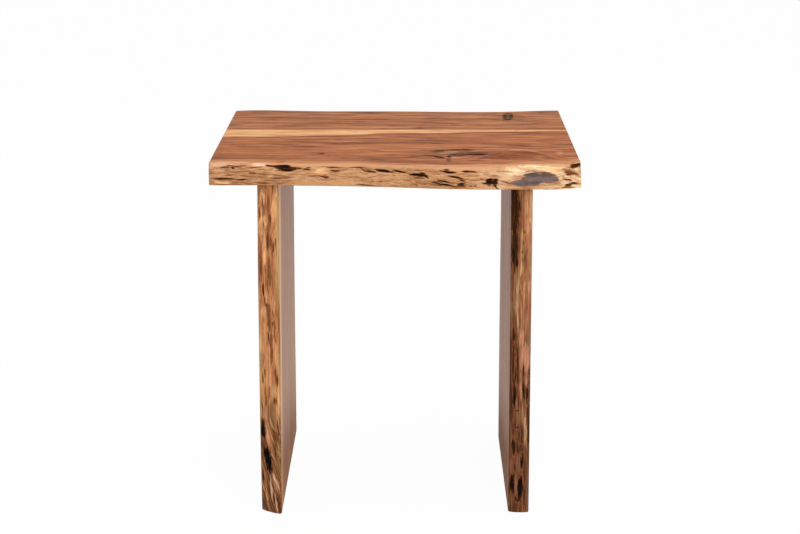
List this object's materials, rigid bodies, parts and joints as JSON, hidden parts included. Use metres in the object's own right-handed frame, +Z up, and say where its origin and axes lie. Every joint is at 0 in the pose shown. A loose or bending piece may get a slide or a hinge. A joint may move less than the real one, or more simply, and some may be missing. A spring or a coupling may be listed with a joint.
{
  "type": "square side table",
  "caption": "Square live-edge side table: a thick two-board slab top with wavy natural edges, standing on two upright slab legs set in from the ends.",
  "frame": {"origin": "on the floor, under the middle of the top", "axes": "+Z up, +X along the grain of the top towards the right leg, -Y towards the front of the table"},
  "size_m": [0.61, 0.6115, 0.61],
  "materials": {
    "live_edge_wood": "satin",
    "dowel_beech": "raw",
    "painted_angle": "satin",
    "zinc_fastener": "satin",
    "brass_insert": "satin",
    "nylon_glide": "matte"
  },
  "bodies": {
    "root": {"top_front_board": "live_edge_wood", "top_back_board": "live_edge_wood", "left_leg_front_board": "live_edge_wood", "left_leg_back_board": "live_edge_wood", "right_leg_front_board": "live_edge_wood", "right_leg_back_board": "live_edge_wood", "top_joint_dowels": "dowel_beech", "left_leg_joint_dowels": "dowel_beech", "left_leg_locating_pegs": "dowel_beech", "right_leg_joint_dowels": "dowel_beech", "right_leg_locating_pegs": "dowel_beech", "left_steel_angle": "painted_angle", "right_steel_angle": "painted_angle", "left_angle_leg_screws": "zinc_fastener", "left_angle_top_bolts": "zinc_fastener", "left_angle_washers": "zinc_fastener", "left_glide_nails": "zinc_fastener", "right_angle_leg_screws": "zinc_fastener", "right_angle_top_bolts": "zinc_fastener", "right_angle_washers": "zinc_fastener", "right_glide_nails": "zinc_fastener", "left_top_inserts": "brass_insert", "right_top_inserts": "brass_insert", "left_leg_glides": "nylon_glide", "right_leg_glides": "nylon_glide"}
  },
  "joints": []
}
